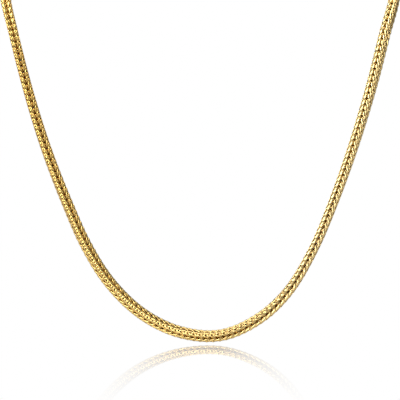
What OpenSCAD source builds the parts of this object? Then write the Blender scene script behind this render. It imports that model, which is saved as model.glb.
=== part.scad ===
/* [Chain] */
// Width of the square chain, from one flat side to the other
side_w = 3.2; // [2.8:0.1:3.4]
// Width of the small flat that stands for each rounded corner
corner_w = 0.22; // [0.1:0.02:0.4]
// Rings of the outer form between two points of the route
rings_per_step = 2; // [1:1:2]

/* [End caps] */
// Outer diameter of each cap
cap_d = 5.5; // [5.2:0.1:6]
// Length of each cap, without its eye
cap_len = 4.6; // [4.2:0.1:5]
// Diameter of the bore that takes the end of the chain
bore_d = 4.7; // [4.6:0.1:4.8]
// Depth of that bore
bore_depth = 3.35; // [3.2:0.05:3.4]
// Bevel round the closed end
cap_bevel = 0.7; // [0.3:0.1:1]
// Thickness of the eye's wire
eye_wire = 1.1; // [0.9:0.1:1.1]
// Radius of the eye, to the middle of its wire
eye_r = 1.6; // [1.6:0.05:1.7]

/* [Clasp] */
// Distance between the middles of the two wires that the eyes hang on
clasp_span = 14.5; // [14.3:0.1:14.5]
// Thickness of the wire round the loops
clasp_wire = 1.4; // [1.2:0.1:1.4]
// Thickness of the long limb that is gripped
body_wire = 2.2; // [1.8:0.1:2.6]
// Radius of the large loop's round ends, to the middle of the wire
loop_r = 2.4; // [2.2:0.1:2.8]
// Radius of the small tail loop, to the middle of the wire
tail_r = 1.5; // [1.4:0.1:1.7]

/* [Hidden] */
gold = [0.83, 0.66, 0.33];

// Middle line of the chain, in millimetres from the nape: x, y, z, then the degrees that the chain has
// rolled inwards there. The first and last rows only guide the line as it leaves the caps.
route = [
    [-3, 0, 0, 0],
    [-10, 0, 0, 0],
    [-18, -0.5, 0, 0],
    [-30, -4, -1, 0],
    [-41.5, -11, -2.5, 0],
    [-51, -21, -5, 0],
    [-58.5, -33, -9, 0],
    [-63, -45.5, -14.5, 0],
    [-65, -57, -22, 0],
    [-64.5, -66, -32.5, 1],
    [-61.5, -70, -45, 2],
    [-58, -70, -59, 4],
    [-54, -70, -73, 7],
    [-49.5, -70, -86.5, 12],
    [-44, -70, -100.5, 18],
    [-37.5, -70, -115, 29],
    [-29.5, -70, -127.5, 40],
    [-19, -70, -137.5, 49],
    [-6.5, -70, -143.5, 57],
    [7, -70, -144.5, 65],
    [19.5, -70, -139, 74],
    [29.5, -70, -129.5, 85],
    [37.5, -70, -116, 92],
    [43.5, -70, -102, 96],
    [49, -70, -87, 102],
    [53.5, -70, -73, 108],
    [57.5, -70, -59, 114],
    [61, -70, -45, 119],
    [64.5, -66, -32.5, 121],
    [65, -57, -22, 121],
    [63, -45.5, -14.5, 121],
    [58.5, -33, -9, 121],
    [51, -21, -5, 121],
    [41.5, -11, -2.5, 121],
    [30, -4, -1, 121],
    [18, -0.5, 0, 121],
    [10, 0, 0, 121],
    [3, 0, 0, 121]
];
// Depth of the plane that the front of the chain hangs in
front_y = -70;
// Depth of the middle of the neck
neck_y = -15;
// Distance behind the front plane over which the chain's face turns sideways
turn_y = 30;

// A smooth curve through rows b and c, a share t of the way between them
function between(a, b, c, d, t) =
    (2 * b + (c - a) * t + (2 * a - 5 * b + 4 * c - d) * t * t + (3 * b - a - 3 * c + d) * t * t * t) / 2;
function unit(v) = v / norm(v);
function place(row) = [row[0], row[1], row[2]];
// Rows along the whole curve, from the left cap round the front to the right cap
last = len(route) - 2;
line = concat(
    [
        for (i = [1:last - 1], k = [0:rings_per_step - 1])
            between(route[i - 1], route[i], route[i + 1], route[i + 2], k / rings_per_step)
    ],
    [route[last]]
);
ring_count = len(line);
// Direction of the chain at a ring
function heading(i) =
    i == 0 ? unit(place(route[1] - route[0])) :
    i == ring_count - 1 ? unit(place(route[last + 1] - route[last])) :
    unit(place(line[i + 1] - line[i - 1]));
// Direction away from the neck: straight forward in the front plane, turning outwards behind it
function outward(p) = [p[0] * (p[1] - front_y) / turn_y, p[1] - neck_y, 0];
function across(v, along) = unit(v - (v * along) * along);
// The square outline with its corners cut, as distances along the two sides
half = side_w / 2;
cut = half - corner_w / sqrt(2);
outline = [
    [half, cut], [cut, half], [-cut, half], [-half, cut],
    [-half, -cut], [-cut, -half], [cut, -half], [half, -cut]
];
sides = len(outline);
function ring(i) =
    let (
        along = heading(i),
        front = across(outward(line[i]), along),
        beside = cross(along, front),
        roll = line[i][3],
        face = front * cos(roll) - beside * sin(roll),
        flank = front * sin(roll) + beside * cos(roll)
    )
    [for (corner = outline) place(line[i]) + face * corner[0] + flank * corner[1]];

// The outer form of the woven chain
module chain() {
    points = [for (i = [0:ring_count - 1]) each ring(i)];
    walls = [
        for (i = [0:ring_count - 2], k = [0:sides - 1])
            let (next = (k + 1) % sides)
            [i * sides + k, (i + 1) * sides + k, (i + 1) * sides + next, i * sides + next]
    ];
    first_end = [for (k = [0:sides - 1]) k];
    last_end = [for (k = [sides - 1:-1:0]) (ring_count - 1) * sides + k];
    color(gold) polyhedron(points = points, faces = concat([first_end], walls, [last_end]));
}

// Gap between each eye and the loop of the clasp that it hangs on
play = 0.15;
// Where the middle of each eye and the closed end of its cap lie, out from the nape
eye_x = clasp_span / 2 + eye_r - eye_wire / 2 - clasp_wire / 2 - play;
cap_end_x = eye_x + eye_r - eye_wire / 2;

// One cap with its eye, from the mouth at the origin towards +Z
module end_cap() {
    cap_r = cap_d / 2;
    bore_r = bore_d / 2;
    rotate_extrude($fn = 48)
        polygon([
            [bore_r, 0], [cap_r, 0], [cap_r, cap_len - cap_bevel], [cap_r - cap_bevel, cap_len],
            [0, cap_len], [0, bore_depth], [bore_r, bore_depth]
        ]);
    translate([0, 0, cap_len + eye_r - eye_wire / 2])
        rotate([90, 0, 0])
            rotate_extrude($fn = 36) translate([eye_r, 0]) circle(d = eye_wire, $fn = 20);
}

module left_end_cap() {
    color(gold) translate([-cap_end_x - cap_len, 0, 0]) rotate([90, 0, 90]) end_cap();
}

module right_end_cap() {
    color(gold) translate([cap_end_x + cap_len, 0, 0]) rotate([90, 0, -90]) end_cap();
}

// Round wire bent about +Y, starting at one angle and going on through another
module bend(r, wire, from, sweep) {
    rotate([90, 0, 0])
        rotate([0, 0, from])
            rotate_extrude(angle = sweep, $fn = 36) translate([r, 0]) circle(d = wire, $fn = 20);
}

// A plain closed clasp: a long loop with one thick limb, and a small tail loop
module clasp() {
    loop_x = -clasp_span / 2 + loop_r;
    tail_x = clasp_span / 2 - tail_r;
    // The large loop ends where the middle of its wire meets that of the tail loop
    far_x = tail_x - tail_r - loop_r;
    color(gold) union() {
        translate([loop_x, 0, 0]) bend(loop_r, clasp_wire, 90, 180);
        translate([far_x, 0, 0]) bend(loop_r, clasp_wire, -90, 180);
        translate([loop_x, 0, loop_r]) rotate([0, 90, 0]) cylinder(d = clasp_wire, h = far_x - loop_x, $fn = 20);
        translate([loop_x, 0, -loop_r]) rotate([0, 90, 0]) cylinder(d = body_wire, h = far_x - loop_x, $fn = 28);
        translate([tail_x, 0, 0]) bend(tail_r, clasp_wire, 0, 360);
    }
}

chain();
left_end_cap();
right_end_cap();
clasp();
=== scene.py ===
import math

import bpy
import numpy as np
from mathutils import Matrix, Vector


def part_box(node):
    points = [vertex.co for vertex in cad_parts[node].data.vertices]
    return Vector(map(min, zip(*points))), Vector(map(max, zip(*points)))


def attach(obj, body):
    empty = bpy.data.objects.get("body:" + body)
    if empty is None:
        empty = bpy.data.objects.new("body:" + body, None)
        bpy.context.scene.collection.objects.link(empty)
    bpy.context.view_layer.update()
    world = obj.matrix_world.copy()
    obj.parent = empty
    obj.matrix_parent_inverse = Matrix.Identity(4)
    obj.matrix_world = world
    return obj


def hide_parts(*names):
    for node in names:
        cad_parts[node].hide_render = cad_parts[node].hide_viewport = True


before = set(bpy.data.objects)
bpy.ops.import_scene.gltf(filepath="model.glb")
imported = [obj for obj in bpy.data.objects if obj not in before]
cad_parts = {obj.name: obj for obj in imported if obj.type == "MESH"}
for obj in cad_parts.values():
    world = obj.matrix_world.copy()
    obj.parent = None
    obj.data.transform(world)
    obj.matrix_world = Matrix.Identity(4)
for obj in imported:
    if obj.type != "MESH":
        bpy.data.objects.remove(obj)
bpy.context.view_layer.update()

rng = np.random.default_rng(12)  # one seed for every small unevenness
mm = 1000  # millimetres in a metre


# Helpers: colours, nodes, grids of faces and new pieces
def linearColour(hexText):
    # each sRGB channel c becomes c / 12.92 up to 0.04045, and ((c + 0.055) / 1.055) ^ 2.4 above it
    c = np.array([int(hexText[i:i + 2], 16) for i in (1, 3, 5)]) / 255
    linear = np.where(c <= 0.04045, c / 12.92, ((c + 0.055) / 1.055) ** 2.4)
    return (*linear.tolist(), 1.0)


def addNode(tree, kind, inputs=None, **settings):
    # inputs maps a socket's name or number to a value or to the socket that feeds it
    node = tree.nodes.new(kind)
    for name, value in settings.items():
        setattr(node, name, value)
    for name, value in (inputs or {}).items():
        if isinstance(value, bpy.types.NodeSocket):
            tree.links.new(value, node.inputs[name])
        else:
            node.inputs[name].default_value = value
    return node


def unit(v):
    return v / np.linalg.norm(v, axis=-1, keepdims=True)


def wrappedFaces(rows, columns, closeRows):
    # quads of a grid whose columns wrap round: (r, c), (r, c + 1), (r + 1, c + 1), (r + 1, c)
    r = np.arange(rows if closeRows else rows - 1)[:, None]
    c = np.arange(columns)[None, :]
    nextR, nextC = (r + 1) % rows, (c + 1) % columns
    corners = [r * columns + c, r * columns + nextC, nextR * columns + nextC, nextR * columns + c]
    return np.stack(corners, axis=-1).reshape(-1, 4)


def wrappedUv(rows, columns, cell, closeRows):
    # corner (r, c) of the same quads lies at (r, c) * cell, in millimetres along and round the surface
    r = np.arange(rows if closeRows else rows - 1)[:, None]
    c = np.arange(columns)[None, :]
    along = np.stack([r + 0 * c, r + 0 * c, r + 1 + 0 * c, r + 1 + 0 * c], axis=-1) * cell[0]
    around = np.stack([c + 0 * r, c + 1 + 0 * r, c + 1 + 0 * r, c + 0 * r], axis=-1) * cell[1]
    return np.stack([along, around], axis=-1).reshape(-1, 4, 2)


def makePiece(name, points, faces, material, uv=None, attributes=None):
    mesh = bpy.data.meshes.new(name)
    mesh.from_pydata(points.tolist(), [], faces.tolist() if hasattr(faces, "tolist") else faces)
    mesh.polygons.foreach_set("use_smooth", np.ones(len(mesh.polygons), bool))
    for label, values in (attributes or {}).items():
        layer = mesh.attributes.new(label, "FLOAT", "POINT")
        layer.data.foreach_set("value", np.asarray(values, np.float32).ravel())
    if uv is not None:
        mesh.uv_layers.new(name="wire").data.foreach_set("uv", np.asarray(uv, np.float32).ravel())
    mesh.materials.append(material)
    mesh.update()
    piece = bpy.data.objects.new(name, mesh)
    bpy.context.scene.collection.objects.link(piece)
    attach(piece, "root")
    return piece


# Middle line of the chain, in metres from the nape: x, y, z, then the degrees that the chain has
# rolled inwards there
route = np.array([
    [-0.003, 0, 0, 0],
    [-0.010, 0, 0, 0],
    [-0.018, -0.0005, 0, 0],
    [-0.030, -0.004, -0.001, 0],
    [-0.0415, -0.011, -0.0025, 0],
    [-0.051, -0.021, -0.005, 0],
    [-0.0585, -0.033, -0.009, 0],
    [-0.063, -0.0455, -0.0145, 0],
    [-0.065, -0.057, -0.022, 0],
    [-0.0645, -0.066, -0.0325, 1],
    [-0.0615, -0.070, -0.045, 2],
    [-0.058, -0.070, -0.059, 4],
    [-0.054, -0.070, -0.073, 7],
    [-0.0495, -0.070, -0.0865, 12],
    [-0.044, -0.070, -0.1005, 18],
    [-0.0375, -0.070, -0.115, 29],
    [-0.0295, -0.070, -0.1275, 40],
    [-0.019, -0.070, -0.1375, 49],
    [-0.0065, -0.070, -0.1435, 57],
    [0.007, -0.070, -0.1445, 65],
    [0.0195, -0.070, -0.139, 74],
    [0.0295, -0.070, -0.1295, 85],
    [0.0375, -0.070, -0.116, 92],
    [0.0435, -0.070, -0.102, 96],
    [0.049, -0.070, -0.087, 102],
    [0.0535, -0.070, -0.073, 108],
    [0.0575, -0.070, -0.059, 114],
    [0.061, -0.070, -0.045, 119],
    [0.0645, -0.066, -0.0325, 121],
    [0.065, -0.057, -0.022, 121],
    [0.063, -0.0455, -0.0145, 121],
    [0.0585, -0.033, -0.009, 121],
    [0.051, -0.021, -0.005, 121],
    [0.0415, -0.011, -0.0025, 121],
    [0.030, -0.004, -0.001, 121],
    [0.018, -0.0005, 0, 121],
    [0.010, 0, 0, 121],
    [0.003, 0, 0, 121],
])
wearer = {
    "frontY": -0.070,  # depth of the plane that the front of the chain hangs in
    "neckY": -0.015,   # depth of the middle of the neck
    "turnY": 0.030,    # distance behind that plane over which the chain's face turns sideways
}


def smoothLine(rows, steps):
    # between rows b and c, with a before and d after and t from 0 to 1:
    # (2b + (c - a) t + (2a - 5b + 4c - d) t^2 + (3b - a - 3c + d) t^3) / 2
    a, b, c, d = rows[:-3], rows[1:-2], rows[2:-1], rows[3:]
    t = (np.arange(steps) / steps)[:, None, None]
    curve = (2 * b + (c - a) * t + (2 * a - 5 * b + 4 * c - d) * t ** 2
             + (3 * b - a - 3 * c + d) * t ** 3) / 2
    return np.vstack([curve.transpose(1, 0, 2).reshape(-1, 4), rows[-2]])


def chainFrame(rows, steps=60):
    # along is the line's direction, front is the way out from the neck made square to it,
    # beside = along x front, and face and flank are front and beside rolled about the line
    line = smoothLine(rows, steps)
    centre = line[:, :3]
    roll = np.radians(line[:, 3:])
    along = unit(np.gradient(centre, axis=0))
    away = np.stack([
        centre[:, 0] * (centre[:, 1] - wearer["frontY"]) / wearer["turnY"],
        centre[:, 1] - wearer["neckY"],
        np.zeros(len(centre)),
    ], axis=1)
    front = unit(away - (away * along).sum(1, keepdims=True) * along)
    beside = np.cross(along, front)
    face = front * np.cos(roll) - beside * np.sin(roll)
    flank = front * np.sin(roll) + beside * np.cos(roll)
    distance = np.concatenate([[0], np.cumsum(np.linalg.norm(np.diff(centre, axis=0), axis=1))])
    return distance, centre, face, flank


distance, centreLine, faceLine, flankLine = chainFrame(route)
chainLength = distance[-1]
print("route ready, chain length", round(chainLength, 4))


# Gold plate on drawn brass wire: the wire was drawn, bent, tumbled and plated, so it shines evenly. Its
# colour also holds painted shade, browner in the hollows, and painted light, a tone that changes a little
# along the chain
plate = {
    "tone": "#E4C47C",
    # shares of the chain's length from the left cap, and the tones there, which are painted light: deeper
    # on the left of the front
    "paintedLightTones": [
        (0.14, "#E4C47C"), (0.28, "#CEAA60"), (0.45, "#DFBF76"), (0.60, "#C9B07C"), (0.76, "#E4CA8C"),
    ],
    # painted shade: the browner colour given to the hollows near the chain's middle
    "paintedHollowShade": "#D2A84A",
    "roughness": (0.18, 0.28),
    "patchMm": 0.8,            # size of the soft patches in the polish
    "patchSpan": (0.3, 0.7),   # values of their noise that give the least and the greatest roughness
    "patchDetail": 3.0,
    "lineMm": 0.05,            # drawing lines along the wire, coarser than real ones so that they show
    "lineLengthMm": 1.5,
    "lineDetail": 2.0,
    "lineDepth": 0.000002,
    "lineStrength": 0.5,
}


def goldPlate(name, paintsLightAndShade):
    material = bpy.data.materials.new(name)
    material.use_nodes = True
    tree = material.node_tree
    tree.nodes.clear()
    coords = addNode(tree, "ShaderNodeTexCoord")
    patches = addNode(tree, "ShaderNodeTexNoise", {
        "Vector": coords.outputs["Object"], "Scale": mm / plate["patchMm"], "Detail": plate["patchDetail"]})
    rough = addNode(tree, "ShaderNodeMapRange", {
        "Value": patches.outputs["Fac"],
        "From Min": plate["patchSpan"][0], "From Max": plate["patchSpan"][1],
        "To Min": plate["roughness"][0], "To Max": plate["roughness"][1]})
    drawn = addNode(tree, "ShaderNodeMapping", {
        "Vector": coords.outputs["UV"], "Scale": (1 / plate["lineLengthMm"], 1 / plate["lineMm"], 1.0)})
    lines = addNode(tree, "ShaderNodeTexNoise", {
        "Vector": drawn.outputs["Vector"], "Scale": 1.0, "Detail": plate["lineDetail"]})
    bump = addNode(tree, "ShaderNodeBump", {
        "Height": lines.outputs["Fac"], "Distance": plate["lineDepth"], "Strength": plate["lineStrength"]})
    shader = addNode(tree, "ShaderNodeBsdfPrincipled", {
        "Metallic": 1.0, "Roughness": rough.outputs["Result"], "Normal": bump.outputs["Normal"],
        "Base Color": linearColour(plate["tone"])})
    if paintsLightAndShade:
        # painted light: the tone changes along the chain, deeper on the left of the front and paler on the
        # right
        side = addNode(tree, "ShaderNodeAttribute", attribute_name="alongChain")
        tone = addNode(tree, "ShaderNodeValToRGB", {"Fac": side.outputs["Fac"]})
        ramp = tone.color_ramp
        ramp.elements[0].position, ramp.elements[1].position = 0.0, 1.0
        ramp.elements[0].color = ramp.elements[1].color = linearColour(plate["tone"])
        for place, shade in plate["paintedLightTones"]:
            ramp.elements.new(place).color = linearColour(shade)
        # painted shade: mixes towards the browner colour near the chain's middle, where the links shade
        # each other
        paintedHollowShade = addNode(tree, "ShaderNodeAttribute", attribute_name="paintedHollowShade")
        mixed = addNode(tree, "ShaderNodeMix", {
            0: paintedHollowShade.outputs["Fac"], 6: tone.outputs["Color"], 7: linearColour(plate["paintedHollowShade"])},
            data_type="RGBA")
        tree.links.new(mixed.outputs[2], shader.inputs["Base Color"])
    addNode(tree, "ShaderNodeOutputMaterial", {"Surface": shader.outputs["BSDF"]})
    return material


chainGold = goldPlate("gold_plated_brass_wire", True)
fittingGold = goldPlate("gold_plated_turned_brass", False)


# The links: long closed ovals of wire, folded in two round the chain's middle, where their sides are
# pinched together. There are two sets, crosswise and half a pitch apart. Each link's two sides come out to
# the flats through the folded ends of the next link of its set, so that neither can slide off the other.
link = {
    "pitch": 0.00203,       # from one link to the next that lies the same way
    "wire": 0.0007,
    # three waves each way, which together bend the oval into its folded shape
    "reach": (0.00143, -0.00053, -0.00013),    # from the chain's middle out to the flats
    "spread": (0.00061, 0.00046, 0.00024),     # from side to side across the flat
    "rise": (0.00195, 0.00002, -0.0001),       # along the chain
    "cornerFill": 0.2,      # how much the press squares the corners
    "pressed": 0.0016,      # how far out it leaves the flats
    "stepsRound": 20,
    "wireSides": 5,
    "unevenTilt": 0.01,     # greatest lean of a link, in radians
    "unevenPlace": 0.00002,
    "paintedShadeFrom": 0.86,     # share of the pressed distance at which the painted shade of the hollows starts, and the share further in after which it is full
    "paintedShadeOver": 0.4,      # and the share further in after which it is full
    "lineShiftMm": 3.7,     # how far each link's drawing lines start from those of the last
}


def linkForm():
    # middle of the wire, for t once round: x = the sum of reach times cos t, cos 3t and cos 5t,
    # y = the sum of spread times sin t, sin 3t and sin 5t,
    # z = minus the sum of rise times cos 2t, cos 4t and cos 6t
    t = np.linspace(0, 2 * np.pi, link["stepsRound"], endpoint=False)[:, None]
    odd, even = np.array([1, 3, 5]), np.array([2, 4, 6])
    middle = np.stack([
        np.cos(t * odd) @ link["reach"],
        np.sin(t * odd) @ link["spread"],
        -np.cos(t * even) @ link["rise"],
    ], axis=1)
    along = unit(np.roll(middle, -1, axis=0) - np.roll(middle, 1, axis=0))
    # away from the chain's middle line, with a little of z, so that it is never quite along the wire
    outwards = middle * [1, 1, 0.05]
    normal = unit(outwards - (outwards * along).sum(1, keepdims=True) * along)
    across = np.cross(along, normal)
    # round the wire: middle + wire / 2 * (normal cos p + across sin p)
    p = (np.arange(link["wireSides"]) + 0.5) * 2 * np.pi / link["wireSides"]
    ring = normal[:, None] * np.cos(p)[None, :, None] + across[:, None] * np.sin(p)[None, :, None]
    points = middle[:, None] + link["wire"] / 2 * ring
    # pressed square: x and y grow by 1 + cornerFill (2 x y / (x^2 + y^2))^2,
    # then stop at the pressed distance
    x, y = points[..., :1], points[..., 1:2]
    points[..., :2] *= 1 + link["cornerFill"] * (2 * x * y / (x ** 2 + y ** 2)) ** 2
    points[..., :2] = np.clip(points[..., :2], -link["pressed"], link["pressed"])
    return points.reshape(-1, 3)


def placeOnChain(local, at):
    # a point (x, y, z) of a link whose middle is `at` along the line goes to centre + face x + flank y,
    # all read at the distance at + z, which stops at the ends of the chain
    here = np.clip(at[:, None] + local[..., 2], 0, chainLength)

    def read(table):
        return np.stack([np.interp(here, distance, table[:, k]) for k in range(3)], axis=-1)

    face = unit(read(faceLine))
    flank = unit(read(flankLine))
    return read(centreLine) + face * local[..., :1] + flank * local[..., 1:2]


def buildLinks():
    form = linkForm()
    # the first folds start at one end of the chain, and the last waists end at the other, inside its cap
    first = sum(link["rise"]) + link["wire"] / 2
    count = int((chainLength - link["wire"] - first) / (link["pitch"] / 2)) + 1
    at = first + np.arange(count) * link["pitch"] / 2
    crosswise = (np.arange(count) % 2 == 1)[:, None, None]
    local = np.where(crosswise, form[None, :, [1, 0, 2]], form[None])
    lean = rng.uniform(-1, 1, (count, 2)) * link["unevenTilt"]
    shift = rng.uniform(-1, 1, (count, 1)) * link["unevenPlace"]
    local[..., 2] += shift + local[..., 0] * lean[:, :1] + local[..., 1] * lean[:, 1:]
    points = placeOnChain(local, at).reshape(-1, 3)
    one = wrappedFaces(link["stepsRound"], link["wireSides"], True)
    faces = one[None] + (np.arange(count) * len(form))[:, None, None]
    # millimetres along and round the wire, with each link's lines starting elsewhere
    loop = form.reshape(link["stepsRound"], link["wireSides"], 3).mean(1)
    cell = (np.linalg.norm(np.roll(loop, -1, axis=0) - loop, axis=1).mean() * mm,
            link["wire"] * mm * math.pi / link["wireSides"])
    uv = wrappedUv(link["stepsRound"], link["wireSides"], cell, True)
    uv = uv[None] + np.arange(count)[:, None, None, None] * [link["lineShiftMm"], 0]
    # the crosswise links are mirror images of the others, so their faces are turned over
    faces[1::2], uv[1::2] = faces[1::2, :, ::-1], uv[1::2, :, ::-1]
    # the painted shade of the hollows is 0 on the flats and corners and 1 near the chain's middle
    outness = np.abs(local[..., :2]).max(-1) / link["pressed"]
    paintedHollowShade = np.clip((link["paintedShadeFrom"] - outness) / link["paintedShadeOver"], 0, 1)
    share = np.broadcast_to((at / chainLength)[:, None], paintedHollowShade.shape)
    return points, faces.reshape(-1, 4), uv, {"paintedHollowShade": paintedHollowShade, "alongChain": share}


linkPoints, linkFaces, linkUv, linkValues = buildLinks()
links = makePiece("chain_links", linkPoints, linkFaces, chainGold, linkUv, linkValues)
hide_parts("chain")
print("links ready,", len(linkFaces), "faces")

# End caps: turned cups over the chain's ends, each with a wire eye soldered to its closed end
cap = {
    "outerRadius": 0.00275, "length": 0.0046,
    "boreRadius": 0.00235, "boreDepth": 0.00335,
    "bevel": 0.0007, "edge": 0.00015,    # width of the bevel, and the rounding of every edge
    "edgeSteps": 5,
    "tip": 0.00001,                      # radius of the small disc that closes each end at the axis
    "stepsRound": 64,
    "eyeRadius": 0.0016, "eyeWire": 0.0011, "eyeSteps": 48, "eyeSides": 20,
}


def softened(outline, edge, steps):
    # each corner P gives way to (1 - t)^2 A + 2 t (1 - t) P + t^2 B, with A and B an edge's width
    # before and after it
    before, corner, after = outline[:-2], outline[1:-1], outline[2:]
    a = corner + unit(before - corner) * edge
    b = corner + unit(after - corner) * edge
    t = np.linspace(0, 1, steps)[:, None, None]
    arcs = (1 - t) ** 2 * a + 2 * t * (1 - t) * corner + t ** 2 * b
    return np.vstack([outline[:1], arcs.transpose(1, 0, 2).reshape(-1, 2), outline[-1:]])


def turned(profile, steps):
    # a profile of (distance along X, radius) turned about X: (x, r cos a, r sin a)
    a = np.arange(steps) * 2 * np.pi / steps
    x = np.broadcast_to(profile[:, :1], (len(profile), steps))
    return np.stack([x, profile[:, 1:] * np.cos(a), profile[:, 1:] * np.sin(a)], axis=-1)


def wireLoop(path, side, radius, steps):
    # round wire along a closed flat path: path + radius * (outwards cos p + side sin p),
    # where side is square to the flat
    along = unit(np.roll(path, -1, axis=0) - np.roll(path, 1, axis=0))
    outwards = np.cross(along, side)
    p = np.arange(steps) * 2 * np.pi / steps
    ring = outwards[:, None] * np.cos(p)[:, None] + side * np.sin(p)[:, None]
    return path[:, None] + np.asarray(radius).reshape(-1, 1, 1) * ring


def joined(parts):
    # several grids of points, each with its faces and corner places, as one mesh
    points = np.vstack([part[0].reshape(-1, 3) for part in parts])
    starts = np.cumsum([0] + [part[0].size // 3 for part in parts[:-1]])
    faces = np.vstack([part[1] + start for part, start in zip(parts, starts)])
    return points, faces, np.vstack([part[2] for part in parts])


def grid(points, closeRows, flip=False):
    rows, columns = points.shape[:2]
    faces = wrappedFaces(rows, columns, closeRows)
    step = (np.linalg.norm(np.diff(points[:, 0], axis=0), axis=1).mean() * mm,
            np.linalg.norm(points[:, 1] - points[:, 0], axis=1).max() * mm)
    uv = wrappedUv(rows, columns, step, closeRows)
    return (points, faces[:, ::-1], uv[:, ::-1]) if flip else (points, faces, uv)


def buildCap(label, direction):
    low, high = map(np.array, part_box(label))
    mouthX = low[0] if direction > 0 else high[0]
    outline = np.array([
        [cap["boreDepth"], cap["tip"]], [cap["boreDepth"], cap["boreRadius"]], [0, cap["boreRadius"]],
        [0, cap["outerRadius"]], [cap["length"] - cap["bevel"], cap["outerRadius"]],
        [cap["length"], cap["outerRadius"] - cap["bevel"]], [cap["length"], cap["tip"]]])
    cup = turned(softened(outline, cap["edge"], cap["edgeSteps"]), cap["stepsRound"])
    steps = cap["eyeSteps"]
    a = np.arange(steps) * 2 * np.pi / steps
    middle = cap["length"] + cap["eyeRadius"] - cap["eyeWire"] / 2
    circle = np.stack([middle + cap["eyeRadius"] * np.cos(a), cap["eyeRadius"] * np.sin(a), 0 * a], axis=1)
    eye = wireLoop(circle, np.array([0, 0, 1.0]), np.full(steps, cap["eyeWire"] / 2), cap["eyeSides"])
    points, faces, uv = joined([grid(cup, False, True), grid(eye, True)])
    points = points * [direction, direction, 1] + [mouthX, 0, 0]
    piece = makePiece(label + "_cup", points, faces, fittingGold, uv=uv)
    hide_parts(label)


# Clasp: one closed piece of bent wire, a long loop with a thick limb to hold it by and a small tail loop
clasp = {
    "span": 0.0145,         # between the middles of the wires that the eyes hang on
    "wire": 0.0014, "limb": 0.0022,
    "loopRadius": 0.0024, "tailRadius": 0.0015,
    "taper": 0.0015,        # length over which the thick limb thins to the wire
    "taperStart": 0.3,      # share of it that lies on the bends
    "limbBand": 0.98,       # the limb is the part this share of the loop's radius or more below the middle
    "bendSteps": 25, "limbSteps": 48, "tailSteps": 48, "wireSides": 24,
}


def buildClasp():
    r, tail = clasp["loopRadius"], clasp["tailRadius"]
    leftX, tailX = -clasp["span"] / 2 + r, clasp["span"] / 2 - tail
    farX = tailX - tail - r
    # the long loop: half a circle, the lower limb, half a circle, the upper limb
    half = np.linspace(0, np.pi, clasp["bendSteps"])
    run = np.linspace(leftX, farX, clasp["limbSteps"] + 2)[1:-1]
    x = np.concatenate([leftX - r * np.sin(half), run, farX + r * np.sin(half), run[::-1]])
    level = np.full(len(run), r)
    z = np.concatenate([r * np.cos(half), -level, -r * np.cos(half), level])
    loop = np.stack([x, 0 * x, z], axis=1)
    # diameter: from the wire to the limb by the smooth step 3t^2 - 2t^3, over the taper at each end
    # of the lower limb
    t = np.clip(np.minimum(x - leftX, farX - x) / clasp["taper"] + clasp["taperStart"], 0, 1)
    t = t * (z < -clasp["limbBand"] * r)
    radius = (clasp["wire"] + (clasp["limb"] - clasp["wire"]) * (3 * t ** 2 - 2 * t ** 3)) / 2
    a = np.arange(clasp["tailSteps"]) * 2 * np.pi / clasp["tailSteps"]
    ring = np.stack([tailX + tail * np.cos(a), 0 * a, -tail * np.sin(a)], axis=1)
    sideways = np.array([0, 1.0, 0])
    points, faces, uv = joined([
        grid(wireLoop(loop, sideways, radius, clasp["wireSides"]), True),
        grid(wireLoop(ring, sideways, np.full(len(a), clasp["wire"] / 2), clasp["wireSides"]), True)])
    piece = makePiece("clasp_loops", points, faces, fittingGold, uv=uv)
    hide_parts("clasp")


buildCap("left_end_cap", 1)
buildCap("right_end_cap", -1)
buildClasp()
print("caps and clasp ready")


# Camera as in the photo, level and square to the front plane
photo = {
    "pixels": 400,
    "mmPerPixel": 0.33,     # in the front plane
    "distance": 0.900,
    "middleHeight": -0.0999,
    "sensor": 36.0,
    "near": 0.05, "far": 20,
}
camera = bpy.data.objects.new("camera", bpy.data.cameras.new("camera"))
camera.data.sensor_width = photo["sensor"]
camera.data.lens = photo["sensor"] * photo["distance"] * mm / (photo["pixels"] * photo["mmPerPixel"])
camera.location = (0, wearer["frontY"] - photo["distance"], photo["middleHeight"])
camera.rotation_euler = (math.pi / 2, 0, 0)
camera.data.clip_start = photo["near"]
camera.data.clip_end = photo["far"]
bpy.context.scene.collection.objects.link(camera)
bpy.context.scene.camera = camera

# Floor and backdrop: one sheet of glossy white acrylic, curved up behind, which mirrors faintly what hangs
# over it
studio = {
    "floorZ": -0.1474,
    "frontY": -1.6, "bendY": 1.0, "bendRadius": 0.5, "bendSteps": 24, "topZ": 2.2, "halfWidth": 2.5,
    "mirrorShare": 0.53, "mirrorRoughness": 0.02,
    # the mirroring is full from the first to the second depth, and fades towards the camera and backwards
    "mirrorFromY": -0.10, "mirrorToY": -0.07,
    "fadedFrontY": -0.36, "fadedBackY": 0.05,
    # it is also full near the middle and fades to both sides
    "clearHalfWidth": 0.006, "fadedHalfWidth": 0.030,
    # the gold mirrors a sheet that glows fully up to the first distance aside and dims up to the second
    "litHalfWidth": 0.2, "dimHalfWidth": 0.6, "dimShare": 0.30,
    "surroundings": 0.30,    # brightness of the world around, which is white where it is seen
    "aimZ": -0.10,           # height that the soft boxes are aimed at
}


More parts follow.
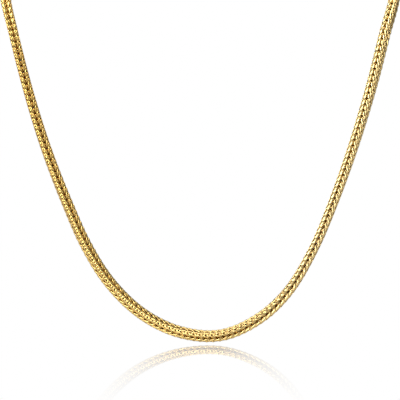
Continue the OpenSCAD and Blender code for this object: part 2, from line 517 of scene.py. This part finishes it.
def buildSheet():
    # the profile runs level to the bend, then round a quarter circle, then straight up
    bend = np.linspace(0, math.pi / 2, studio["bendSteps"])
    y = np.concatenate([[studio["frontY"]], studio["bendY"] + studio["bendRadius"] * np.sin(bend)])
    z = np.concatenate([[0], studio["bendRadius"] * (1 - np.cos(bend))]) + studio["floorZ"]
    y, z = np.append(y, y[-1]), np.append(z, studio["topZ"])
    x = np.array([-1, 1]) * studio["halfWidth"]
    points = np.stack(np.broadcast_arrays(x[None, :], y[:, None], z[:, None]), axis=-1).reshape(-1, 3)
    i = np.arange(len(y) - 1) * 2
    faces = np.stack([i, i + 1, i + 3, i + 2], axis=1)
    mesh = bpy.data.meshes.new("sheet")
    mesh.from_pydata(points.tolist(), [], faces.tolist())
    mesh.polygons.foreach_set("use_smooth", np.ones(len(faces), bool))
    sheet = bpy.data.objects.new("sheet", mesh)
    bpy.context.scene.collection.objects.link(sheet)
    return sheet


def acrylic():
    material = bpy.data.materials.new("white_acrylic")
    material.use_nodes = True
    tree = material.node_tree
    tree.nodes.clear()
    coords = addNode(tree, "ShaderNodeTexCoord")
    split = addNode(tree, "ShaderNodeSeparateXYZ", {"Vector": coords.outputs["Object"]})
    aside = addNode(tree, "ShaderNodeMath", {0: split.outputs["X"]}, operation="ABSOLUTE")
    share = None
    for source, faded, full in (
            (split.outputs["Y"], "fadedFrontY", "mirrorFromY"),
            (split.outputs["Y"], "fadedBackY", "mirrorToY"),
            (aside.outputs["Value"], "fadedHalfWidth", "clearHalfWidth")):
        fade = addNode(tree, "ShaderNodeMapRange", {
            "Value": source, "From Min": studio[faded], "From Max": studio[full]})
        share = addNode(tree, "ShaderNodeMath", {
            0: fade.outputs["Result"], 1: share.outputs["Value"] if share else studio["mirrorShare"]},
            operation="MULTIPLY")
    lit = addNode(tree, "ShaderNodeMapRange", {
        "Value": aside.outputs["Value"],
        "From Min": studio["litHalfWidth"], "From Max": studio["dimHalfWidth"],
        "To Min": 1.0, "To Max": studio["dimShare"]})
    rays = addNode(tree, "ShaderNodeLightPath")
    seen = addNode(tree, "ShaderNodeMath", {
        0: lit.outputs["Result"], 1: rays.outputs["Is Camera Ray"]}, operation="MAXIMUM")
    glow = addNode(tree, "ShaderNodeEmission", {"Color": (1, 1, 1, 1), "Strength": seen.outputs["Value"]})
    gloss = addNode(tree, "ShaderNodeBsdfGlossy", {
        "Color": (1, 1, 1, 1), "Roughness": studio["mirrorRoughness"]})
    mixed = addNode(tree, "ShaderNodeMixShader", {
        "Fac": share.outputs["Value"], 1: glow.outputs["Emission"], 2: gloss.outputs["BSDF"]})
    addNode(tree, "ShaderNodeOutputMaterial", {"Surface": mixed.outputs["Shader"]})
    return material


buildSheet().data.materials.append(acrylic())

world = bpy.data.worlds.new("studio")
bpy.context.scene.world = world
world.use_nodes = True
world.node_tree.nodes.clear()
rays = addNode(world.node_tree, "ShaderNodeLightPath")
strength = addNode(world.node_tree, "ShaderNodeMapRange", {
    "Value": rays.outputs["Is Camera Ray"], "To Min": studio["surroundings"], "To Max": 1.0})
backing = addNode(world.node_tree, "ShaderNodeBackground", {
    "Color": (1, 1, 1, 1), "Strength": strength.outputs["Result"]})
addNode(world.node_tree, "ShaderNodeOutputWorld", {"Surface": backing.outputs["Background"]})


# White soft boxes: name, place, size and brightness of the panel, all aimed at the middle of the front
softBoxes = [
    {"name": "front_box", "place": (0.0, -1.20, -0.10), "size": 0.45, "glow": 12.2},
    {"name": "top_box", "place": (0.0, -0.10, 0.90), "size": 0.90, "glow": 3.4},
    {"name": "side_box", "place": (-0.70, -0.40, 0.50), "size": 0.50, "glow": 11},
]
target = Vector((0, wearer["frontY"], studio["aimZ"]))
for box in softBoxes:
    lamp = bpy.data.lights.new(box["name"], "AREA")
    lamp.size = box["size"]
    lamp.energy = box["glow"] * math.pi * box["size"] ** 2  # watts that give the panel this radiance
    holder = bpy.data.objects.new(box["name"], lamp)
    holder.location = box["place"]
    holder.rotation_euler = (target - Vector(box["place"])).to_track_quat("-Z", "Y").to_euler()
    bpy.context.scene.collection.objects.link(holder)
bpy.context.scene.view_settings.view_transform = "Standard"
print("studio ready")
